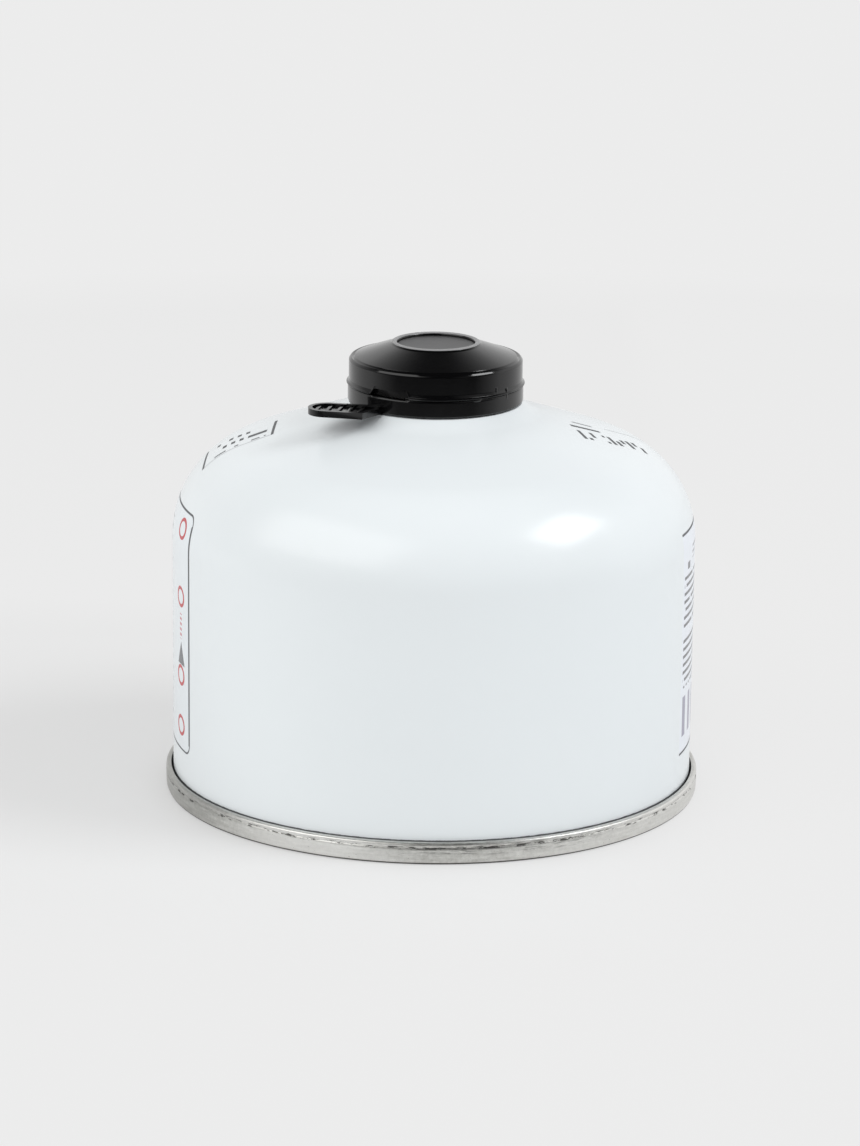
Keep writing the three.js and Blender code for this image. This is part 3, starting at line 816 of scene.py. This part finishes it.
def end_profile():
    """The bottom end: its panel, the countersink, up the double seam and back along the upper face."""
    rim_z = COUNTERSINK_DEPTH
    step_radius = PANEL_RADIUS - PANEL_STEP_WIDTH
    crease_z = SEAM_HEIGHT - SEAM_CREASE_DROP
    foot_radius = SEAM_RADIUS - SEAM_FOOT_TAPER
    return [
        *bulge(step_radius, rim_z + PANEL_STEP_HEIGHT, PANEL_RISE, 12),
        (PANEL_RADIUS, rim_z),
        *arc(CHUCK_INNER - COUNTERSINK_ROUND, rim_z - COUNTERSINK_ROUND, COUNTERSINK_ROUND, QUARTER, 0, 8),
        *arc(CHUCK_INNER + SEAM_FOOT_ROUND, SEAM_FOOT_ROUND, SEAM_FOOT_ROUND, math.pi, 3 * QUARTER, 8),
        *arc(foot_radius - SEAM_FOOT_ROUND, SEAM_FOOT_ROUND, SEAM_FOOT_ROUND, -QUARTER, 0, 8),
        (SEAM_RADIUS, SEAM_FULL_Z),
        (SEAM_RADIUS, crease_z - 0.45),
        (SEAM_RADIUS - 0.03, crease_z - 0.2),
        (SEAM_RADIUS - SEAM_CREASE_DEPTH, crease_z),
        (SEAM_RADIUS - 0.05, crease_z + 0.15),
        *arc(SEAM_RADIUS - SEAM_TOP_ROUND, SEAM_HEIGHT - SEAM_TOP_ROUND, SEAM_TOP_ROUND, 0, QUARTER, 8),
        (HOOK_RADIUS + 0.2, SEAM_HEIGHT),
        (HOOK_RADIUS, SEAM_HEIGHT - 0.2),
        (HOOK_RADIUS, SEAM_GROOVE_FLOOR),
        (CHUCK_OUTER, SEAM_GROOVE_FLOOR),
        (CHUCK_OUTER, rim_z + END_SHEET - COUNTERSINK_ROUND),
        (CHUCK_OUTER - COUNTERSINK_ROUND, rim_z + END_SHEET),
        (PANEL_RADIUS, rim_z + END_SHEET),
        *reversed(bulge(step_radius, rim_z + PANEL_STEP_HEIGHT + END_SHEET, PANEL_RISE, 12)),
    ]


def rolled(angle, radius, height):
    """The seam's outside isn't perfectly round: the rolling leaves it slightly uneven."""
    if radius < HOOK_RADIUS + 0.1 or height < 0.3:
        return radius, height
    x, y = around(2.2, angle)  # a closed loop through the noise
    wave = noise.noise(Vector((x * 3, y * 3, height * 0.7)))
    ripple = noise.noise(Vector((x * 14, y * 14, height * 1.6)))
    return radius - SEAM_WAVE * (1 + wave) - SEAM_RIPPLE * (1 + ripple), height


def thread_depth(angle, z):
    """How deep the collar's wall is cut at a height, for one right-hand thread."""
    run_out = min(1, max(0, (z - THREAD_LOW) / THREAD_PITCH))
    lead_in = min(1, max(0, (COLLAR_TOP - COLLAR_CHAMFER * 0.5 - z) / THREAD_PITCH))
    phase = (z / THREAD_PITCH - angle / (2 * math.pi)) % 1
    vee = abs(2 * phase - 1)
    return THREAD_DEPTH * min(1, max(0, 1.25 * vee - 0.12)) * min(run_out, lead_in * 1.5, 1)


def cup_shape(angle, radius, height):
    """Cuts the thread into the collar's wall."""
    on_collar = abs(radius - COLLAR_RADIUS) < 1e-3 and height > THREAD_LOW
    return (radius - thread_depth(angle, height) if on_collar else radius), height


def cup_profile():
    """The valve cup: its floor, the rim rolled over the neck's bead, and the collar with its bore."""
    rim_inner = NECK_BEAD + SEAT_GAP
    rim_outer = rim_inner + CUP_SHEET
    floor_top = CUP_FLOOR + CUP_SHEET
    wall_inside = CUP_INNER - CUP_SHEET
    rise = (COLLAR_TOP - COLLAR_CHAMFER - THREAD_LOW) / THREAD_STEPS
    return [
        (0.0, CUP_FLOOR),
        *arc(CUP_INNER - CUP_FLOOR_ROUND, CUP_FLOOR + CUP_FLOOR_ROUND, CUP_FLOOR_ROUND, -QUARTER, 0, 8),
        *arc(NECK_BEAD_LINE, NECK_BEAD_Z, rim_inner, math.pi, 0, 16),
        (NECK_BEAD_LINE + rim_inner, CUP_SKIRT_Z),
        (NECK_BEAD_LINE + rim_outer, CUP_SKIRT_Z),
        *arc(NECK_BEAD_LINE, NECK_BEAD_Z, rim_outer, 0, math.pi, 16),
        (wall_inside, floor_top + CUP_FLOOR_ROUND),
        (wall_inside - CUP_FLOOR_ROUND, floor_top),
        (COLLAR_FOOT_RADIUS + 0.3, floor_top),
        (COLLAR_FOOT_RADIUS - 0.5, floor_top + 0.25),
        (COLLAR_RADIUS + 0.3, THREAD_LOW - 0.5),
        *((COLLAR_RADIUS, THREAD_LOW + rise * i) for i in range(THREAD_STEPS + 1)),
        (COLLAR_RADIUS - COLLAR_CHAMFER, COLLAR_TOP),
        (COLLAR_BORE + 0.15, COLLAR_TOP),
        (COLLAR_BORE, COLLAR_TOP - 0.15),
        (COLLAR_BORE, COLLAR_TOP - COLLAR_BORE_DEPTH),
        (0.0, COLLAR_TOP - COLLAR_BORE_DEPTH),
    ]


def skirt_profile():
    """The cap above the tear line, without its top disc."""
    edge_line = CAP_RADIUS - SKIRT_EDGE_ROUND
    ring_round = RING_WIDTH / 2
    ring_line = RING_RADIUS - ring_round
    cone_top = CREST_Z - RING_DROP
    inner_cone_z = EDGE_Z + SKIRT_EDGE_ROUND - CAP_WALL
    lower = [SKIRT_FOOT + WINDOW_REACH * i / WINDOW_RINGS for i in range(4, WINDOW_RINGS + 1)]
    flat = [Vector(end) for end in arc(edge_line, EDGE_Z, SKIRT_EDGE_ROUND, EDGE_FLAT_FROM, EDGE_FLAT_TO, 1)]
    edge_flat = [tuple(flat[0].lerp(flat[1], share)) for share in (0.15, 0.85)]
    foot = SKIRT_FOOT - SLIT_CLOSING
    return [
        (CAP_INNER, foot),
        (POCKET_RADIUS - 0.01, foot),
        (POCKET_RADIUS, foot),
        (CAP_RADIUS + LIP_FLARE - 0.12, foot),
        *((CAP_RADIUS + out, SKIRT_FOOT + up) for out, up in LIP),
        *((CAP_RADIUS, z) for z in lower),
        *arc(edge_line, EDGE_Z, SKIRT_EDGE_ROUND, 0, EDGE_FLAT_FROM, 4),
        *edge_flat,
        *arc(edge_line, EDGE_Z, SKIRT_EDGE_ROUND, EDGE_FLAT_TO, QUARTER * 0.8, 4),
        (edge_line - EDGE_GROOVE, EDGE_Z + SKIRT_EDGE_ROUND - EDGE_GROOVE),
        (edge_line - 2 * EDGE_GROOVE, EDGE_Z + SKIRT_EDGE_ROUND - 0.3 * EDGE_GROOVE),
        (edge_line - 3 * EDGE_GROOVE, EDGE_Z + SKIRT_EDGE_ROUND + EDGE_GROOVE),
        (RING_RADIUS + 0.25, cone_top - 0.1),
        (RING_RADIUS + 0.05, cone_top + 0.02),
        *arc(ring_line, CREST_Z - ring_round, ring_round, QUARTER * 0.3, QUARTER * 2, 12),
        (ring_line - ring_round, RECESS_Z),
        (ring_line - ring_round, RECESS_Z - CAP_WALL),
        (CAP_INNER - SKIRT_EDGE_ROUND, inner_cone_z),
        (CAP_INNER, EDGE_Z - CAP_WALL),
        *((CAP_INNER, z) for z in reversed(lower)),
    ]


def window_lift(angle):
    """How far the skirt's foot is raised at an angle by the arched window over the tab's root."""
    turned_angle = (angle + math.pi) % (2 * math.pi) - math.pi
    half_width = CAP_RADIUS * (WINDOW_TO - WINDOW_FROM) / 2
    along = abs(turned_angle - (WINDOW_FROM + WINDOW_TO) / 2) * CAP_RADIUS
    if along > half_width:
        return 0.0
    into_corner = max(0.0, (along - (half_width - WINDOW_CORNER)) / WINDOW_CORNER)
    return WINDOW_HEIGHT - WINDOW_CORNER * (1 - math.sqrt(1 - into_corner**2))


def skirt_shape(angle, radius, height):
    """Lifts the outer part of the skirt's foot at the window, where the lip ends too."""
    above_foot = height - SKIRT_FOOT + SLIT_CLOSING
    if above_foot > WINDOW_REACH or radius < POCKET_RADIUS - 0.005:
        return radius, height
    lift = window_lift(angle)
    if lift:
        radius = min(radius, CAP_RADIUS + LIP_FLARE * (1 - lift / WINDOW_HEIGHT))
    return radius, SKIRT_FOOT - SLIT_CLOSING + lift + above_foot * (WINDOW_REACH - lift) / WINDOW_REACH


def band_profile():
    """The tamper band, with its bevelled top edge and the snap bead inside."""
    snap_inner = NECK_BEAD_OUTER + SNAP_BEAD_GAP
    return [
        (CAP_INNER, CAP_FOOT),
        (BAND_RADIUS - CAP_FOOT_CHAMFER, CAP_FOOT),
        (BAND_RADIUS, CAP_FOOT + CAP_FOOT_CHAMFER),
        *((BAND_RADIUS - back, TEAR_Z - drop) for back, drop in LEDGE),
        (CAP_INNER, TEAR_Z),
        (CAP_INNER, SNAP_BEAD_Z + 2 * SNAP_BEAD_HEIGHT),
        (snap_inner, SNAP_BEAD_Z + SNAP_BEAD_HEIGHT),
        (snap_inner, SNAP_BEAD_Z),
    ]


def band_shape(angle, radius, height):
    """The bevel on the band's top edge is only there under the window. Elsewhere it is small and higher."""
    back, drop = BAND_RADIUS - radius, TEAR_Z - height
    if drop > LEDGE[0][1] + 0.01 or back > LEDGE[-1][0] + 0.01 or window_lift(angle):
        return radius, height
    return BAND_RADIUS - LEDGE_ELSEWHERE * back, TEAR_Z + SLIT_CLOSING - LEDGE_ELSEWHERE * drop


def disc_profile():
    """The recessed disc on the cap's top."""
    radius = RING_RADIUS - RING_WIDTH
    return [
        (0.0, RECESS_Z),
        (radius - 0.15, RECESS_Z),
        (radius - 0.02, RECESS_Z - 0.12),
        (radius - 0.02, RECESS_Z - CAP_WALL),
        (0.0, RECESS_Z - CAP_WALL),
    ]


def bridge_parts():
    """The webs that hold the band to the skirt until it is torn."""
    inner = CAP_RADIUS - CAP_WALL / 2
    half = BRIDGE_WIDTH / 2 / CAP_RADIUS
    parts = []
    for i in range(BRIDGE_COUNT):
        angle = FIRST_BRIDGE + i * 2 * math.pi / BRIDGE_COUNT
        parts.append(block(inner, CAP_RADIUS, angle - half, angle + half, TEAR_Z - 0.2, SKIRT_FOOT + 0.2))
    return parts


def swelling(angle, width, low, high, proud):
    """A smooth raised patch on the cap's wall, with rounded ends, closed behind."""
    columns, rows = 12, 20
    sunk = 0.05  # its edges lie this far inside the wall
    mesh = bmesh.new()
    grid = []
    for j in range(rows + 1):
        from_end = min(j, rows - j) / rows * (high - low)
        end = min(1, from_end / min(width, high - low) * 2)
        row = []
        for i in range(columns + 1):
            across = 2 * i / columns - 1
            rise = (proud + sunk) * (1 - across * across) * (1 - (1 - end) ** 2) - sunk
            x, y = around(CAP_RADIUS + rise, angle + across * width / 2 / CAP_RADIUS)
            row.append(mesh.verts.new((x * MM, y * MM, (low + (high - low) * j / rows) * MM)))
        grid.append(row)
    for j in range(rows):
        for i in range(columns):
            mesh.faces.new((grid[j][i], grid[j][i + 1], grid[j + 1][i + 1], grid[j + 1][i]))
    bmesh.ops.holes_fill(mesh, edges=[e for e in mesh.edges if e.is_boundary])
    bmesh.ops.recalc_face_normals(mesh, faces=mesh.faces)
    return mesh


def cap_swellings():
    """The rib that marks the first bridge, the nub beside it and a low lug on the band's edge."""
    rib_foot = TEAR_Z + (TEAR_SLIT - RIB_HEIGHT) / 2
    return [
        swelling(FIRST_BRIDGE, BRIDGE_WIDTH, rib_foot, rib_foot + RIB_HEIGHT, RIB_PROUD),
        swelling(NUB_ANGLE, NUB_WIDTH, SKIRT_FOOT + 0.3, SKIRT_FOOT + 0.3 + NUB_HEIGHT, NUB_PROUD),
        swelling(LUG_ANGLE, LUG_WIDTH, TEAR_Z - 0.55, TEAR_Z + 0.5, LUG_PROUD),
    ]


def tab_corner():
    """The front corner of the tab's root."""
    return around(CAP_RADIUS - CAP_WALL / 2, TAB_ROOT_TO)


def tab_outline(inset):
    """The tab's flat outline, narrowed by an inset: root corner at the origin, tip along +X."""
    half = TAB_WIDTH / 2 - inset
    tip_line = TAB_LENGTH - TAB_WIDTH / 2
    lean = math.atan2(TAB_SHOULDER, TAB_OFFSET + TAB_WIDTH / 2)
    corner = Vector(tab_corner())
    back = Vector(around(CAP_RADIUS - CAP_WALL / 2, TAB_ROOT_FROM)) - corner
    back.rotate(Matrix.Rotation(TAB_YAW - math.pi, 2))
    return [
        (inset * math.cos(lean), -inset * math.sin(lean)),
        (TAB_SHOULDER + inset * (1 - math.sin(lean)) / math.cos(lean), TAB_OFFSET + half),
        *arc(tip_line, TAB_OFFSET, half, QUARTER, -QUARTER, 32),
        (TAB_BACK_START, TAB_OFFSET - half),
        (back.x, back.y),
    ]


def rim_loop(outer, inner, low, high):
    """A raised wall between two outlines with the same number of points."""
    mesh = bmesh.new()
    loops = []
    for points, height in ((outer, low), (outer, high), (inner, high), (inner, low)):
        loops.append([mesh.verts.new((x * MM, y * MM, height * MM)) for x, y in points])
    for i, loop in enumerate(loops):
        other = loops[(i + 1) % len(loops)]
        for k, start in enumerate(loop):
            n = (k + 1) % len(loop)
            mesh.faces.new((start, loop[n], other[n], other[k]))
    bmesh.ops.recalc_face_normals(mesh, faces=mesh.faces)
    return mesh


def onto_band(parts):
    """Turns the tab's parts towards -X and sets them at the band's foot."""
    corner_x, corner_y = tab_corner()
    turn = Matrix.Rotation(math.pi - TAB_YAW, 4, "Z")
    placed = Matrix.Translation((corner_x * MM, corner_y * MM, CAP_FOOT * MM)) @ turn
    for part in parts:
        part.transform(placed)
    return parts


def tab_ribs():
    """The ribs across the tab's plate, from its hole towards its root."""
    ribs = []
    for i in range(TAB_RIB_COUNT):
        high = TAB_FIRST_RIB - i * TAB_RIB_PITCH
        rib = prism(tab_outline(TAB_RIB_INSET), 0.02, TAB_RIB_HEIGHT)
        ribs.append(cropped(rib, high - TAB_RIB_WIDTH, high))
    return onto_band(ribs)


def tab_parts():
    """The tab's rim, its plate with the hole left at the tip, and the block at its root."""
    parts = onto_band([
        rim_loop(tab_outline(0), tab_outline(TAB_RIM_WIDTH), 0, TAB_RIM_HEIGHT),
        cropped(prism(tab_outline(TAB_RIM_WIDTH * 0.8), 0.01, TAB_PLATE), None, TAB_FIRST_RIB),
    ])
    root = block(CAP_RADIUS - CAP_WALL / 2, CAP_RADIUS + ROOT_BLOCK_PROUD, TAB_ROOT_FROM, TAB_ROOT_TO,
                 CAP_FOOT, CAP_FOOT + TAB_RIM_HEIGHT, 10)
    return parts + [root]


GLOSS_BLACK = (0.0022, 0.0022, 0.0025)
MATTE_BLACK = (0.045, 0.045, 0.0465)

white_enamel = enamel()
satin_tinplate = tinplate()
gloss_black = cap_plastic("gloss_black_plastic", GLOSS_BLACK, rough=0.15, grain=0.5, grain_height=0.02)
matte_black = cap_plastic("textured_black_plastic", MATTE_BLACK, rough=0.42, grain=5.0, grain_height=0.05)

can_shell = turned(supported(body_profile()), BODY_SEGMENTS)
rolled_end = turned(supported(end_profile()), BODY_SEGMENTS, rolled)
threaded_cup = turned(cup_profile(), CUP_SEGMENTS, cup_shape)
cap_crown = turned(supported(skirt_profile()), CAP_SEGMENTS, skirt_shape)
cap_disc = turned(supported(disc_profile()), DISC_SEGMENTS)
cap_band = turned(supported(band_profile()), CAP_SEGMENTS, band_shape)

piece("can_shell", [can_shell], white_enamel, "can_body")
piece("rolled_end", [rolled_end], satin_tinplate, "bottom_end")
piece("threaded_cup", [threaded_cup], satin_tinplate, "valve_cup")
piece("cap_crown", [cap_crown], gloss_black, "cap")
piece("cap_disc", [cap_disc], matte_black, "cap")
piece("cap_band", [cap_band, *cap_swellings()], gloss_black, "cap")
piece("cap_bridges", bridge_parts(), gloss_black, "cap", BRIDGE_EDGE_ROUND)
piece("cap_tab", tab_parts(), gloss_black, "cap", TAB_EDGE_ROUND)
piece("cap_tab_ribs", tab_ribs(), gloss_black, "cap", TAB_RIB_ROUND)

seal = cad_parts["valve_seal"]
seal.data.materials.clear()
seal.data.materials.append(rubber())


# Floor, light and camera, with places in metres
FLOOR_HALF = 6.0
LAMP_AIM = (0, 0, 0.06)
KEY_LAMP = {
    "azimuth": 75.5,
    "elevation": 42,
    "distance": 1.25,
    "width": 0.6,
    "height": 0.42,
    "radiance": 7.7,
    "tint": (0.985, 1.0, 1.01),
    "roll": 14,
}
FILL_LAMP = {
    "azimuth": -54,
    "elevation": 37.5,
    "distance": 1.6,
    "width": 1.9,
    "height": 1.1,
    "radiance": 1.8,
    "tint": (1.0, 1.0, 0.985),
}
CAMERA_PLACE = (-0.00071, -0.9, 0.287864)
CAMERA_LENS = 142.57
CAMERA_PITCH = 0.264
CAMERA_ROLL = 0.011


def floor():
    data = bpy.data.meshes.new("floor")
    low, high = -FLOOR_HALF, FLOOR_HALF
    data.from_pydata([(low, low, 0), (high, low, 0), (high, high, 0), (low, high, 0)], [], [(0, 1, 2, 3)])
    data.materials.append(pale_floor())
    obj = bpy.data.objects.new("floor", data)
    bpy.context.scene.collection.objects.link(obj)


def lamp(name, azimuth, elevation, distance, width, height, radiance, tint, roll=0.0):
    """A softbox that faces the canister. Its angles are in degrees, the azimuth from the front to +X."""
    light = bpy.data.lights.new(name, "AREA")
    light.shape = "RECTANGLE"
    light.size = width
    light.size_y = height
    light.energy = radiance * math.pi * width * height
    light.color = tint
    obj = bpy.data.objects.new(name, light)
    bpy.context.scene.collection.objects.link(obj)
    az, el = math.radians(azimuth), math.radians(elevation)
    direction = Vector((math.sin(az) * math.cos(el), -math.cos(az) * math.cos(el), math.sin(el)))
    obj.location = Vector(LAMP_AIM) + direction * distance
    facing = direction.to_track_quat("Z", "Y") @ Quaternion((0, 0, 1), math.radians(roll))
    obj.rotation_euler = facing.to_euler()
    obj.visible_camera = False


def studio_world():
    """Even soft light for the surfaces, and for reflections a dark room with pale screens low down."""
    world = bpy.data.worlds.new("studio")
    bpy.context.scene.world = world
    world.use_nodes = True
    g = Graph(world.node_tree)
    background = world.node_tree.nodes["Background"]
    direction = g.node("ShaderNodeTexCoord").outputs["Generated"]
    x, y, z = g.node("ShaderNodeSeparateXYZ", {0: direction}).outputs
    paths = g.node("ShaderNodeLightPath").outputs
    behind = g.times(g.above(y, 0.35, 0.7), 0.9)
    right = g.above(g.plus(g.times(x, 0.75), g.times(y, 0.66)), 0.62, 0.3)
    sides = g.times(g.above(g.magnitude(x), 0.6, 0.5), 0.35)
    room = g.math("MULTIPLY_ADD", g.most(behind, right, sides), g.below(z, 0.62, 0.3), 0.015)
    soft_light = g.math("MULTIPLY_ADD", g.below(z, 0.3, 0.5), 0.14, DIFFUSE_LEVEL)
    level = g.mix(paths["Is Glossy Ray"], soft_light, room)
    shown = g.most(paths["Is Camera Ray"], paths["Is Transmission Ray"])
    g.feed(background.inputs["Color"], g.mix(shown, level, BACKDROP))
    background.inputs["Strength"].default_value = 1.0


def photo_camera():
    """A camera in front of the canister that looks down a little, as the photograph does."""
    data = bpy.data.cameras.new("camera")
    data.sensor_width = 36
    data.lens = CAMERA_LENS
    camera = bpy.data.objects.new("camera", data)
    bpy.context.scene.collection.objects.link(camera)
    forward = Vector((0, math.cos(CAMERA_PITCH), -math.sin(CAMERA_PITCH)))
    upward = Vector((0, math.sin(CAMERA_PITCH), math.cos(CAMERA_PITCH)))
    across = Vector((1, 0, 0))
    camera_x = math.cos(CAMERA_ROLL) * across + math.sin(CAMERA_ROLL) * upward
    camera_y = math.cos(CAMERA_ROLL) * upward - math.sin(CAMERA_ROLL) * across
    axes = Matrix((camera_x, camera_y, -forward)).transposed()
    camera.matrix_world = Matrix.Translation(CAMERA_PLACE) @ axes.to_4x4()
    bpy.context.scene.camera = camera


floor()
studio_world()
lamp("key", **KEY_LAMP)
lamp("fill", **FILL_LAMP)
photo_camera()
bpy.context.scene.view_settings.view_transform = "Standard"
